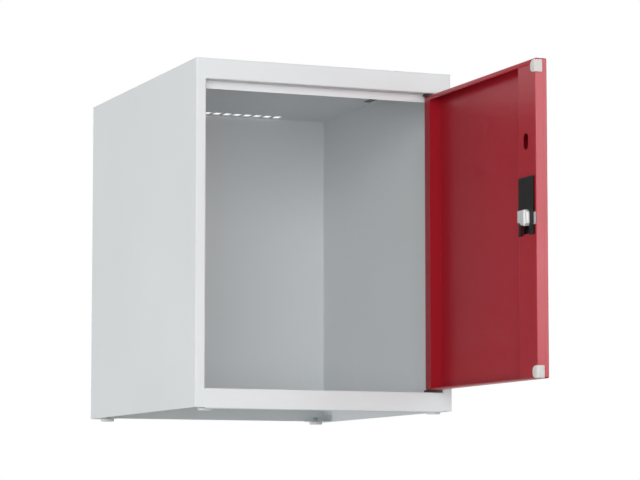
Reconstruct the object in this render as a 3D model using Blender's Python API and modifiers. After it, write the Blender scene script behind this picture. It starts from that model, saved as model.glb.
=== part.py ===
"""Locker top cabinet: a folded-sheet carcass on glides, with a pivoting door and a sliding-bolt lock.

Metres, +Z up, front towards -Y. The door stands open at a right angle. The origin is on the ground, at the
centre of the footprint that the carcass and the open door cover together.
"""

import math

import bmesh
import bpy
from mathutils import Matrix, Vector

# Carcass
BODY_WIDTH = 0.400
BODY_DEPTH = 0.500
BODY_HEIGHT = 0.500
SHEET = 0.001
BEND_RADIUS = 0.002
BEND_STEPS = 3
SEAM = 0.0003
FLUSH_SEAM = 0.0001
REAR_FLANGE = 0.017
SKIRT_LIFT = 0.0015

# Front frame
STILE_WIDTH = 0.015
STILE_DEPTH = 0.028
FASCIA_HEIGHT = 0.030
FASCIA_RETURN = 0.019
STOP_DROP = 0.011
STOP_LEG = 0.0155
STOP_SETBACK = 0.0195
STOP_LAP = 0.012
RAIL_HEIGHT = 0.029
RAIL_DROP = 0.002
RAIL_TOP_RETURN = 0.050
RAIL_BOTTOM_RETURN = 0.009
FLOOR_FLANGE = 0.0147

# Roof vents and slot plugs
VENT_COUNT = 14
VENT_PITCH = 0.0174
VENT_WIDTH = 0.012
VENT_LENGTH = 0.020
VENT_FROM_BACK = 0.019
VENT_SHIFT = -0.0038
PLUG_LENGTH = 0.034
PLUG_WIDTH = 0.009
PLUG_HEAD = 0.0012
PLUG_NECK_INSET = 0.001
PLUG_FROM_SIDE = 0.019
PLUG_BEHIND_MIDDLE = 0.005

# Glides and their brackets
FOOT_HEIGHT = 0.004
FOOT_DIAMETER = 0.021
FOOT_CHAMFER = 0.0008
FOOT_STEM_DIAMETER = 0.006
FOOT_STEM_LENGTH = 0.008
FOOT_FROM_SIDE = 0.022
FOOT_FROM_FACE = 0.0195
BRACKET_WIDTH = 0.034
BRACKET_DEPTH = 0.034
BRACKET_UPSTAND = 0.0095
STEM_CLEARANCE = 0.0003

# Hinge
HINGE_FROM_DOOR_EDGE = 0.008
HINGE_FROM_DOOR_FACE = 0.007
PIN_DIAMETER = 0.006
PIN_CLEARANCE = 0.0003
PIN_BLOCK_HEIGHT = 0.025
PIN_BLOCK_LENGTH = 0.0137
BUSH_LENGTH = 0.0247
BUSH_DEPTH = 0.018
BUSH_THICKNESS = 0.0033
BUSH_SLEEVE_WALL = 0.0013
BUSH_SLEEVE_LENGTH = 0.008
DOOR_OPEN = math.radians(90)

# Door
DOOR_GAP = 0.0025
DOOR_THICKNESS = 0.018
DOOR_LIP = 0.007
DOOR_FOOT_LIP = 0.002
HINGE_LIP = 0.020
FREE_EDGE_FLANGE = 0.006
STILE_PROFILE_WIDTH = 0.0535
STILE_EDGE_WALL = 0.0115
STILE_FLANGE = 0.010
CAP_LENGTH = 0.0146
CAP_DEPTH = 0.0115
CAP_HEIGHT = 0.0185
CAP_PROUD = 0.0008
CAP_ROUNDING = 0.003
ACCESS_HOLE_WIDTH = 0.0143
ACCESS_HOLE_HEIGHT = 0.0227
ACCESS_HOLE_INSET = 0.030
ACCESS_HOLE_Z = 0.359

# Lock
LOCK_INSET = 0.0284
LOCK_Z = 0.2513
CASE_WIDTH = 0.041
CASE_THICKNESS = 0.0023
CASE_ABOVE_LOCK = 0.0584
CASE_BELOW_LOCK = 0.0217
CASE_NOTCH_WIDTH = 0.0234
CASE_BRIDGE = 0.0008
TONGUE_CLEARANCE = 0.0005
CASE_PEG_DIAMETER = 0.005
CASE_PEG_LENGTH = 0.004
CASE_PEG_BELOW_TOP = 0.012
STILE_SLOT_BELOW_LOCK = 0.0193
BOLT_TRAVEL = 0.0099
BOLT_TONGUE_HEIGHT = 0.0165
BOLT_TONGUE_THICKNESS = 0.0012
BOLT_BLOCK_WIDTH = 0.030
BOLT_BLOCK_RISE = 0.0051
BOLT_BLOCK_ABOVE = 0.0129
BOLT_BLOCK_BELOW = 0.0065
BOLT_FLUTE_WIDTH = 0.003
BOLT_FLUTE_DEPTH = 0.0012
BOLT_ROUNDING = 0.0008
BOLT_NECK_HEIGHT = 0.014
BOLT_PLATE_WIDTH = 0.024
BOLT_PLATE_HEIGHT = 0.025
BOLT_PLATE_THICKNESS = 0.0022
BOLT_PIN_DIAMETER = 0.004
BOLT_PIN_LENGTH = 0.0022
CRANK_PIN_DIAMETER = 0.005
CRANK_PIN_CLEARANCE = 0.00035
CRANK_START = math.radians(45)
DRIVER_RADIUS = 0.0105
DRIVER_THICKNESS = 0.003
SPINDLE_DIAMETER = 0.008
BARREL_DIAMETER = 0.018
BARREL_LENGTH = 0.0075
ROSETTE_DIAMETER = 0.040
ROSETTE_THICKNESS = 0.0022
NUT_ACROSS_FLATS = 0.024
NUT_THICKNESS = 0.004
KNOB_DIAMETER = 0.025
KNOB_BASE = 0.004
KNOB_GRIP_HEIGHT = 0.0044
KNOB_GRIP_WIDTH = 0.008
STRIKE_CLEARANCE = 0.0012

# Levels and planes that follow from the sizes above
HALF_WIDTH = BODY_WIDTH / 2
FRONT = -BODY_DEPTH / 2
BACK = BODY_DEPTH / 2
BODY_BOTTOM = FOOT_HEIGHT
BODY_TOP = BODY_BOTTOM + BODY_HEIGHT
CARCASS_TOP = BODY_TOP - SHEET - FLUSH_SEAM
OPENING_HALF = HALF_WIDTH - STILE_WIDTH
OPENING_TOP = BODY_TOP - FASCIA_HEIGHT
RAIL_BOTTOM = BODY_BOTTOM - RAIL_DROP
OPENING_BOTTOM = RAIL_BOTTOM + RAIL_HEIGHT
FLOOR_TOP = OPENING_BOTTOM - SHEET - SEAM
INNER_HALF = HALF_WIDTH - SHEET - SEAM
BACK_FACE = BACK - SHEET - SEAM

DOOR_WIDTH = 2 * (OPENING_HALF - DOOR_GAP)
DOOR_BOTTOM = OPENING_BOTTOM + FLUSH_SEAM + BUSH_THICKNESS + SEAM
DOOR_TOP = OPENING_TOP - FLUSH_SEAM - BUSH_THICKNESS - SEAM
HINGE_X = OPENING_HALF - DOOR_GAP - HINGE_FROM_DOOR_EDGE
HINGE_Y = FRONT + HINGE_FROM_DOOR_FACE
DOOR_REACH = DOOR_WIDTH - HINGE_FROM_DOOR_EDGE
CABINET_SHIFT = (DOOR_REACH + CAP_PROUD / 2 - HINGE_Y - BACK) / 2

# Door planes, from the hinge axis, with the door closed
EDGE_HINGE = HINGE_FROM_DOOR_EDGE
EDGE_FREE = HINGE_FROM_DOOR_EDGE - DOOR_WIDTH
SKIN_OUT = -HINGE_FROM_DOOR_FACE
SKIN_IN = SKIN_OUT + SHEET
LIP_TOP = SKIN_OUT + DOOR_THICKNESS
LIP_UNDER = LIP_TOP - SHEET
STILE_FACE = LIP_TOP
STILE_UNDER = STILE_FACE - SHEET
LOCK_X = EDGE_FREE + LOCK_INSET

CASE_BACK = STILE_FACE + SEAM
CASE_FACE = CASE_BACK + CASE_THICKNESS
TONGUE_TOP = CASE_BACK + BOLT_TONGUE_THICKNESS
BLOCK_BACK = CASE_FACE + SEAM
BLOCK_FACE = BLOCK_BACK + BOLT_BLOCK_RISE
PLATE_TOP = STILE_UNDER - SEAM
PLATE_UNDER = PLATE_TOP - BOLT_PLATE_THICKNESS
BOLT_SLOT_HALF = BOLT_TONGUE_HEIGHT / 2 + TONGUE_CLEARANCE
NECK_LOW = LOCK_X - CASE_NOTCH_WIDTH / 2 + BOLT_TRAVEL + TONGUE_CLEARANCE
NECK_HIGH = LOCK_X + CASE_NOTCH_WIDTH / 2 - TONGUE_CLEARANCE
CRANK_RADIUS = BOLT_TRAVEL / 2 / math.sin(CRANK_START)

GREY_PAINT = ("grey_paint", (0.73, 0.74, 0.75), 0.45, 0.0)
RED_PAINT = ("red_paint", (0.26, 0.012, 0.025), 0.4, 0.0)
BLACK_PLASTIC = ("black_plastic", (0.024, 0.024, 0.025), 0.5, 0.0)
PALE_PLASTIC = ("pale_plastic", (0.70, 0.70, 0.68), 0.5, 0.0)
ZINC = ("zinc", (0.72, 0.72, 0.73), 0.3, 1.0)


def clear_scene():
    for obj in list(bpy.data.objects):
        bpy.data.objects.remove(obj)


def new_collection(name):
    collection = bpy.data.collections.new(name)
    bpy.context.scene.collection.children.link(collection)
    return collection


def material_of(finish):
    name, colour, roughness, metallic = finish
    material = bpy.data.materials.get(name)
    if material is None:
        material = bpy.data.materials.new(name)
        material.use_nodes = True
        shader = material.node_tree.nodes["Principled BSDF"]
        shader.inputs["Base Color"].default_value = (*colour, 1)
        shader.inputs["Roughness"].default_value = roughness
        shader.inputs["Metallic"].default_value = metallic
    return material


def place(name, mesh, parent, finish=None):
    """Adds the mesh as a part with that finish, or as a hidden cutter if it has none."""
    obj = bpy.data.objects.new(name, mesh)
    obj.parent = parent
    if finish:
        PARTS.objects.link(obj)
        mesh.materials.append(material_of(finish))
    else:
        CUTTERS.objects.link(obj)
        obj.hide_render = True
        obj.display_type = "WIRE"
    return obj


def add_empty(name, parent, location, rotation=(0, 0, 0)):
    empty = bpy.data.objects.new(name, None)
    PARTS.objects.link(empty)
    empty.parent = parent
    empty.location = location
    empty.rotation_euler = rotation
    return empty


def mesh_from(name, bm):
    mesh = bpy.data.meshes.new(name)
    bm.to_mesh(mesh)
    bm.free()
    return mesh


def add_bevel(obj, width, segments):
    bevel = obj.modifiers.new("rounding", "BEVEL")
    bevel.width = width
    bevel.segments = segments
    bevel.limit_method = "ANGLE"
    return bevel


def boolean(obj, operation, *others):
    for other in others:
        modifier = obj.modifiers.new(other.name, "BOOLEAN")
        modifier.operation = operation
        modifier.object = other
        modifier.solver = "EXACT"
    return obj


def cut(obj, *cutters):
    return boolean(obj, "DIFFERENCE", *cutters)


def join(obj, *others):
    return boolean(obj, "UNION", *others)


def folded_sheet(name, path, low, high, axis, parent, finish):
    """Sheet metal bent along a path of corner points, running from low to high along an axis.

    The path holds two coordinates a point: x and y for axis Z, y and z for axis X, x and z for axis Y. The
    sheet's thickness lies on the path's right-hand side, seen with the second coordinate up.
    """
    spread = {
        "X": lambda u, v: Vector((low, u, v)),
        "Y": lambda u, v: Vector((u, low, v)),
        "Z": lambda u, v: Vector((u, v, low)),
    }[axis]
    span = high - low
    along = Vector((span * (axis == "X"), span * (axis == "Y"), span * (axis == "Z")))
    bm = bmesh.new()
    points = [bm.verts.new(spread(u, v)) for u, v in path]
    edges = [bm.edges.new(pair) for pair in zip(points, points[1:])]
    drawn = bmesh.ops.extrude_edge_only(bm, edges=edges)["geom"]
    bmesh.ops.translate(bm, verts=[g for g in drawn if isinstance(g, bmesh.types.BMVert)], vec=along)
    obj = place(name, mesh_from(name, bm), parent, finish)
    add_bevel(obj, BEND_RADIUS, BEND_STEPS)
    solidify = obj.modifiers.new("thickness", "SOLIDIFY")
    solidify.thickness = SHEET
    solidify.offset = 1 if axis == "Y" else -1
    solidify.use_even_offset = True
    return obj


def box(name, low, high, parent, finish=None, rounding=0, segments=2):
    low, high = Vector(low), Vector(high)
    bm = bmesh.new()
    bmesh.ops.create_cube(bm, size=1)
    size = Matrix.Diagonal((*(high - low), 1))
    bmesh.ops.transform(bm, matrix=Matrix.Translation((low + high) / 2) @ size, verts=bm.verts)
    obj = place(name, mesh_from(name, bm), parent, finish)
    if rounding:
        add_bevel(obj, rounding, segments)
    return obj


def rod(name, centre, radius, low, high, axis, parent, finish=None, sides=32, turn=0):
    """A round or many-sided bar along an axis. The centre gives the two other coordinates in order."""
    bm = bmesh.new()
    bmesh.ops.create_cone(
        bm, cap_ends=True, segments=sides, radius1=radius, radius2=radius, depth=high - low,
        matrix=Matrix.Rotation(turn, 4, "Z"),
    )
    aim = {"X": (0, math.pi / 2, 0), "Y": (math.pi / 2, 0, 0), "Z": (0, 0, 0)}[axis]
    spot = list(centre)
    spot.insert("XYZ".index(axis), (low + high) / 2)
    tilt = Matrix.LocRotScale(Vector(spot), None, None)
    for letter, angle in zip("XYZ", aim):
        tilt = tilt @ Matrix.Rotation(angle, 4, letter)
    bmesh.ops.transform(bm, matrix=tilt, verts=bm.verts)
    mesh = mesh_from(name, bm)
    if finish and sides > 8:
        mesh.shade_smooth()
        mesh.set_sharp_from_angle(angle=math.radians(30))
    return place(name, mesh, parent, finish)


def turned(name, profile, parent, finish, steps=32):
    """A shape turned about its own Z axis. The profile runs down the outer side as radius and height."""
    bm = bmesh.new()
    points = [bm.verts.new((radius, 0, height)) for radius, height in profile]
    for pair in zip(points, points[1:]):
        bm.edges.new(pair)
    obj = place(name, mesh_from(name, bm), parent, finish)
    screw = obj.modifiers.new("turning", "SCREW")
    screw.steps = screw.render_steps = steps
    screw.use_merge_vertices = True
    screw.merge_threshold = 0.00001
    return obj


def slot_shape(name, centre, width, height, low, high, parent):
    """A cutter for an upright slot with round ends, running along Y."""
    x, z = centre
    reach = (height - width) / 2
    middle = box(name, (x - width / 2, low, z - reach), (x + width / 2, high, z + reach), parent)
    ends = [
        rod(f"{name}_end_{side:+d}", (x, z + side * reach), width / 2, low, high, "Y", parent)
        for side in (-1, 1)
    ]
    return [middle, *ends]


def build_side_panels(root):
    """The two sides, each folded into a box stile at the front and a flange at the back."""
    panels = {}
    for name, side in (("left_side_panel", -1), ("right_side_panel", 1)):
        path = [
            (side * INNER_HALF, FRONT + STILE_DEPTH),
            (side * OPENING_HALF, FRONT + STILE_DEPTH),
            (side * OPENING_HALF, FRONT),
            (side * HALF_WIDTH, FRONT),
            (side * HALF_WIDTH, BACK),
            (side * (HALF_WIDTH - REAR_FLANGE), BACK),
        ]
        path = path if side < 0 else path[::-1]
        panels[side] = folded_sheet(name, path, BODY_BOTTOM, CARCASS_TOP, "Z", root, GREY_PAINT)
    # The left stile has the slot that the bolt's tongue enters when the door is locked.
    tongue_middle = HINGE_Y + (CASE_BACK + TONGUE_TOP) / 2
    reach = BOLT_TONGUE_THICKNESS / 2 + STRIKE_CLEARANCE
    rise = BOLT_TONGUE_HEIGHT / 2 + STRIKE_CLEARANCE
    strike = box(
        "strike_slot",
        (-OPENING_HALF - 2 * SHEET, tongue_middle - reach, LOCK_Z - rise),
        (-OPENING_HALF + SHEET, tongue_middle + reach, LOCK_Z + rise),
        root,
    )
    cut(panels[-1], strike)


def build_back_panel(root):
    box(
        "back_panel",
        (-INNER_HALF, BACK_FACE - SHEET, BODY_BOTTOM + SKIRT_LIFT),
        (INNER_HALF, BACK_FACE, CARCASS_TOP),
        root,
        GREY_PAINT,
        rounding=SHEET * 0.45,
        segments=1,
    )


def build_roof(root):
    """The roof sheet with its row of vents along the back, and the two slots that the plugs close."""
    roof = box(
        "roof_panel", (-HALF_WIDTH, FRONT, BODY_TOP - SHEET), (HALF_WIDTH, BACK, BODY_TOP), root, GREY_PAINT,
        rounding=SHEET / 3, segments=1,
    )
    first = VENT_SHIFT - (VENT_COUNT - 1) / 2 * VENT_PITCH
    vent_y = BACK - VENT_FROM_BACK
    vents = box(
        "vent_slots",
        (first - VENT_WIDTH / 2, vent_y - VENT_LENGTH / 2, BODY_TOP - 3 * SHEET),
        (first + VENT_WIDTH / 2, vent_y + VENT_LENGTH / 2, BODY_TOP + 2 * SHEET),
        root,
    )
    row = vents.modifiers.new("row", "ARRAY")
    row.use_relative_offset = False
    row.use_constant_offset = True
    row.constant_offset_displace = (VENT_PITCH, 0, 0)
    row.count = VENT_COUNT
    cut(roof, vents)
    for side, word in ((-1, "left"), (1, "right")):
        x = side * (HALF_WIDTH - PLUG_FROM_SIDE)
        y = PLUG_BEHIND_MIDDLE
        half_neck = Vector((PLUG_WIDTH / 2 - PLUG_NECK_INSET, PLUG_LENGTH / 2 - PLUG_NECK_INSET))
        underside = BODY_TOP - SHEET - SEAM
        plug = box(
            f"roof_plug_{word}",
            (x - PLUG_WIDTH / 2, y - PLUG_LENGTH / 2, underside - PLUG_HEAD),
            (x + PLUG_WIDTH / 2, y + PLUG_LENGTH / 2, underside),
            root,
            BLACK_PLASTIC,
        )
        neck = box(
            f"roof_plug_neck_{word}",
            (x - half_neck.x, y - half_neck.y, underside - PLUG_HEAD / 2),
            (x + half_neck.x, y + half_neck.y, BODY_TOP),
            root,
        )
        join(plug, neck)
        slot = box(
            f"roof_slot_{word}",
            (x - half_neck.x - SEAM, y - half_neck.y - SEAM, BODY_TOP - 3 * SHEET),
            (x + half_neck.x + SEAM, y + half_neck.y + SEAM, BODY_TOP + 2 * SHEET),
            root,
        )
        cut(roof, slot)


def build_top_rail(root):
    """The fascia over the door, folded back under itself, and the stop rail that hangs behind it."""
    half = OPENING_HALF - FLUSH_SEAM
    rail = folded_sheet(
        "top_front_rail",
        [(FRONT + FASCIA_RETURN, OPENING_TOP), (FRONT, OPENING_TOP), (FRONT, CARCASS_TOP)],
        -half, half, "X", root, GREY_PAINT,
    )
    stop_back = FRONT + STOP_SETBACK + SHEET
    leg_top = OPENING_TOP + 2 * SHEET + SEAM
    stop_end = OPENING_HALF - BUSH_LENGTH - 4 * SEAM
    stop = folded_sheet(
        "door_stop_rail",
        [(stop_back - STOP_LEG, leg_top), (stop_back, leg_top), (stop_back, OPENING_TOP - STOP_DROP)],
        -half, stop_end, "X", root, GREY_PAINT,
    )
    # Behind the hinge a lapped plate carries the stop on, clear of the door's turning edge.
    lap = box(
        "stop_lap",
        (stop_end - STOP_LAP, stop_back - SEAM, OPENING_TOP - STOP_DROP),
        (half, stop_back + SHEET, OPENING_TOP),
        root,
    )
    join(stop, lap)
    return rail


def build_bottom_rail(root):
    half = OPENING_HALF - FLUSH_SEAM
    return folded_sheet(
        "bottom_front_rail",
        [
            (FRONT + RAIL_BOTTOM_RETURN, RAIL_BOTTOM),
            (FRONT, RAIL_BOTTOM),
            (FRONT, OPENING_BOTTOM),
            (FRONT + RAIL_TOP_RETURN, OPENING_BOTTOM),
        ],
        -half, half, "X", root, GREY_PAINT,
    )


def build_floor(root):
    low = FLOOR_TOP - FLOOR_FLANGE
    folded_sheet(
        "floor_panel",
        [(-INNER_HALF, low), (-INNER_HALF, FLOOR_TOP), (INNER_HALF, FLOOR_TOP), (INNER_HALF, low)],
        FRONT + STILE_DEPTH + SEAM, BACK_FACE - SHEET - SEAM, "Y", root, GREY_PAINT,
    )


def build_feet(root):
    """A glide at each corner, its stem in an angle bracket that stands against the side or the stile."""
    plate_under = BODY_BOTTOM + SEAM
    upstand_top = plate_under + BRACKET_UPSTAND
    foot_y = -FRONT - FOOT_FROM_FACE
    radius = FOOT_DIAMETER / 2
    stem = FOOT_STEM_DIAMETER / 2
    rear_edge = BACK_FACE - SHEET - SEAM
    corners = (
        ("front", -1, OPENING_HALF - SEAM, FRONT + SHEET + SEAM, FRONT + STILE_DEPTH - SHEET),
        ("rear", 1, INNER_HALF, rear_edge - BRACKET_DEPTH, rear_edge),
    )
    for row, sign_y, outer, y_low, y_high in corners:
        for word, sign_x in (("left", -1), ("right", 1)):
            path = [
                (sign_x * outer, upstand_top),
                (sign_x * outer, plate_under),
                (sign_x * (outer - BRACKET_WIDTH), plate_under),
            ]
            path = path if sign_x > 0 else path[::-1]
            bracket = folded_sheet(f"foot_bracket_{row}_{word}", path, y_low, y_high, "Y", root, GREY_PAINT)
            spot = (sign_x * (HALF_WIDTH - FOOT_FROM_SIDE), sign_y * foot_y)
            hole = rod(
                f"stem_hole_{row}_{word}", spot, stem + STEM_CLEARANCE, 0, plate_under + 3 * SHEET, "Z", root
            )
            cut(bracket, hole)
            top = FOOT_HEIGHT - SEAM
            foot = turned(
                f"foot_{row}_{word}",
                [
                    (0, top + FOOT_STEM_LENGTH),
                    (stem, top + FOOT_STEM_LENGTH),
                    (stem, top),
                    (radius, top),
                    (radius, FOOT_CHAMFER),
                    (radius - FOOT_CHAMFER, 0),
                    (0, 0),
                ],
                root,
                PALE_PLASTIC,
                steps=24,
            )
            foot.location = (*spot, 0)


def build_hinge_bushes(root, top_rail, bottom_rail):
    """Nylon bearing plates with a sleeve each, set in the rails over and under the door's hinge edge."""
    sleeve = PIN_DIAMETER / 2 + PIN_CLEARANCE + BUSH_SLEEVE_WALL
    bore = PIN_DIAMETER / 2 + PIN_CLEARANCE
    centre = (HINGE_X, HINGE_Y)
    low_y = FRONT + 2 * SEAM
    high_y = low_y + BUSH_DEPTH
    seats = (("upper", top_rail, OPENING_TOP, 1), ("lower", bottom_rail, OPENING_BOTTOM, -1))
    for word, rail, level, up in seats:
        seat = level - up * FLUSH_SEAM
        face = seat - up * BUSH_THICKNESS
        z_low, z_high = sorted((seat, face))
        right = OPENING_HALF - SEAM
        bm = bmesh.new()
        bmesh.ops.create_cube(bm, size=1)
        low = Vector((right - BUSH_LENGTH, low_y, z_low))
        high = Vector((right, high_y, z_high))
        size = Matrix.Diagonal((*(high - low), 1))
        bmesh.ops.transform(bm, matrix=Matrix.Translation((low + high) / 2) @ size, verts=bm.verts)
        upright = [
            e for e in bm.edges
            if abs(e.verts[0].co.z - e.verts[1].co.z) > BUSH_THICKNESS / 2 and e.verts[0].co.x < right - SEAM
        ]
        bmesh.ops.bevel(
            bm, geom=upright, offset=(high_y - low_y) / 2 - SEAM, segments=8, profile=0.5, affect="EDGES"
        )
        bush = place(f"{word}_hinge_bush", mesh_from(f"{word}_hinge_bush", bm), root, BLACK_PLASTIC)
        end = seat + up * BUSH_SLEEVE_LENGTH
        inside = seat - up * BUSH_THICKNESS / 2
        tube = rod(f"{word}_sleeve", centre, sleeve, *sorted((inside, end)), "Z", root, sides=24)
        through = sorted((face - up * SHEET, end + up * SHEET))
        hole = rod(f"{word}_bore", centre, bore, *through, "Z", root, sides=24)
        sunk = sorted((seat - up * SHEET, end))
        seat_hole = rod(f"{word}_sleeve_hole", centre, sleeve + SEAM, *sunk, "Z", root, sides=24)
        join(bush, tube)
        cut(bush, hole)
        cut(rail, seat_hole)


def build_door_skin(axis):
    """The door's outer sheet: a pan with a lip along its top, a boxed hinge edge and a short flange along its free edge."""
    corner = Vector((SHEET, SHEET, SHEET))
    low = Vector((EDGE_FREE, SKIN_OUT, DOOR_BOTTOM))
    high = Vector((EDGE_HINGE, LIP_TOP, DOOR_TOP))
    skin = box("door_skin", low, high, axis, RED_PAINT, rounding=BEND_RADIUS, segments=BEND_STEPS)
    wall = EDGE_HINGE - HINGE_LIP
    inside_low = low + corner
    inside_high = high - corner
    hollow = box("door_hollow", inside_low, (wall, inside_high.y, inside_high.z), axis)
    hinge_hollow = box("hinge_hollow", (wall + SHEET, inside_low.y, inside_low.z), inside_high, axis)
    bay_end = EDGE_FREE + STILE_PROFILE_WIDTH + SEAM
    mouth = box(
        "lip_window",
        (bay_end - SHEET, LIP_UNDER - 3 * SHEET, DOOR_BOTTOM + DOOR_FOOT_LIP),
        (wall, LIP_TOP + SHEET, DOOR_TOP - DOOR_LIP),
        axis,
    )
    bay = box(
        "stile_bay",
        (EDGE_FREE - SHEET, SKIN_OUT + FREE_EDGE_FLANGE, DOOR_BOTTOM + BEND_RADIUS),
        (bay_end, LIP_TOP + SHEET, DOOR_TOP - BEND_RADIUS),
        axis,
    )
    pin_hole = rod(
        "door_pin_holes", (0, 0), PIN_DIAMETER / 2 + PIN_CLEARANCE,
        DOOR_BOTTOM - SHEET, DOOR_TOP + SHEET, "Z", axis, sides=24,
    )
    barrel_hole = rod(
        "barrel_hole", (LOCK_X, LOCK_Z), BARREL_DIAMETER / 2 + SEAM,
        SKIN_OUT - SHEET, SKIN_IN + SHEET, "Y", axis,
    )
    return cut(skin, hollow, hinge_hollow, mouth, bay, pin_hole, barrel_hole)


def build_lock_stile(axis):
    """The channel welded inside the door along its free edge, which carries the lock."""
    wall = EDGE_FREE + STILE_PROFILE_WIDTH
    foot = SKIN_IN + SEAM + SHEET
    stile = folded_sheet(
        "lock_stile",
        [
            (EDGE_FREE, STILE_FACE - STILE_EDGE_WALL),
            (EDGE_FREE, STILE_FACE),
            (wall, STILE_FACE),
            (wall, foot),
            (wall + STILE_FLANGE, foot),
        ],
        DOOR_BOTTOM + BEND_RADIUS + SEAM, DOOR_TOP - BEND_RADIUS - SEAM, "Z", axis, RED_PAINT,
    )
    access = slot_shape(
        "access_hole", (EDGE_FREE + ACCESS_HOLE_INSET, ACCESS_HOLE_Z), ACCESS_HOLE_WIDTH, ACCESS_HOLE_HEIGHT,
        STILE_UNDER - SHEET, STILE_FACE + SHEET, axis,
    )
    bolt_slot = box(
        "bolt_slot",
        (LOCK_X - CASE_NOTCH_WIDTH / 2, STILE_UNDER - SHEET, LOCK_Z - STILE_SLOT_BELOW_LOCK),
        (LOCK_X + CASE_NOTCH_WIDTH / 2, STILE_FACE + SHEET, LOCK_Z + BOLT_SLOT_HALF),
        axis,
    )
    return cut(stile, *access, bolt_slot)


def build_door_caps(axis, stile):
    """Pale plugs in the free edge's two corners, which meet the stop when the door shuts."""
    for word, up, level in (("upper", 1, DOOR_TOP), ("lower", -1, DOOR_BOTTOM)):
        near = level - up * (BEND_RADIUS + SEAM)
        far = near - up * CAP_HEIGHT
        z_low, z_high = sorted((near, far))
        low = Vector((EDGE_FREE - CAP_PROUD / 2, LIP_TOP - CAP_DEPTH + 2 * SEAM, z_low))
        high = Vector((EDGE_FREE + CAP_LENGTH, LIP_TOP + CAP_PROUD, z_high))
        room = Vector((SEAM, 3 * SEAM, SEAM))
        pocket = box(f"{word}_cap_pocket", low - room, high + room, axis)
        cut(stile, pocket)
        box(f"door_cap_{word}", low, high, axis, PALE_PLASTIC, rounding=CAP_ROUNDING, segments=3)


def build_hinge_pins(axis):
    """Steel pins, each held in a block inside the door's hinge edge."""
    for word, up, level in (("upper", 1, DOOR_TOP), ("lower", -1, DOOR_BOTTOM)):
        seat = level - up * (SHEET + SEAM)
        bottom = seat - up * PIN_BLOCK_HEIGHT
        z_low, z_high = sorted((seat, bottom))
        block = box(
            f"{word}_pin_block",
            (EDGE_HINGE - SHEET - SEAM - PIN_BLOCK_LENGTH, SKIN_IN + SEAM, z_low),
            (EDGE_HINGE - SHEET - SEAM, LIP_UNDER - SEAM, z_high),
            axis,
            BLACK_PLASTIC,
            rounding=BEND_RADIUS,
        )
        tip = level + up * (2 * SEAM + BUSH_THICKNESS + BUSH_SLEEVE_LENGTH - SHEET)
        root = bottom + up * SHEET
        bore = rod(
            f"{word}_pin_bore", (0, 0), PIN_DIAMETER / 2 + PIN_CLEARANCE / 2,
            *sorted((root - up * SEAM, tip)), "Z", axis, sides=24,
        )
        cut(block, bore)
        rod(f"{word}_hinge_pin", (0, 0), PIN_DIAMETER / 2, *sorted((root, tip)), "Z", axis, ZINC, sides=24)


def build_lock_case(axis, stile):
    """The lock's cover on the stile, with a window for the bolt and two moulded pegs behind."""
    half = CASE_WIDTH / 2
    bottom = LOCK_Z - CASE_BELOW_LOCK
    top = LOCK_Z + CASE_ABOVE_LOCK
    case = box(
        "lock_case", (LOCK_X - half, CASE_BACK, bottom), (LOCK_X + half, CASE_FACE, top),
        axis, BLACK_PLASTIC, rounding=SEAM, segments=1,
    )
    notch = CASE_NOTCH_WIDTH / 2
    window = box(
        "bolt_window",
        (LOCK_X - notch, CASE_BACK - SHEET, LOCK_Z - BOLT_SLOT_HALF),
        (LOCK_X + notch, CASE_FACE + SHEET, LOCK_Z + BOLT_SLOT_HALF),
        axis,
    )
    finger_notch = box(
        "finger_notch",
        (LOCK_X - notch, CASE_BACK - SHEET, bottom - SHEET),
        (LOCK_X + notch, CASE_FACE + SHEET, LOCK_Z - BOLT_SLOT_HALF + SHEET),
        axis,
    )
    tongue_way = box(
        "tongue_way",
        (LOCK_X - half - SHEET, CASE_BACK - SHEET, LOCK_Z - BOLT_SLOT_HALF),
        (LOCK_X, CASE_FACE - CASE_BRIDGE, LOCK_Z + BOLT_SLOT_HALF),
        axis,
    )
    for number, side in enumerate((-1, 1), start=1):
        spot = (LOCK_X + side * half / 2, top - CASE_PEG_BELOW_TOP)
        radius = CASE_PEG_DIAMETER / 2
        low = CASE_BACK - CASE_PEG_LENGTH
        join(case, rod(f"case_peg_{number}", spot, radius, low, CASE_BACK + SHEET, "Y", axis, sides=16))
        hole = rod(
            f"case_peg_hole_{number}", spot, radius + SEAM, low, STILE_FACE + SHEET, "Y", axis, sides=16
        )
        cut(stile, hole)
    return cut(case, window, finger_notch, tongue_way)


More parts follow.
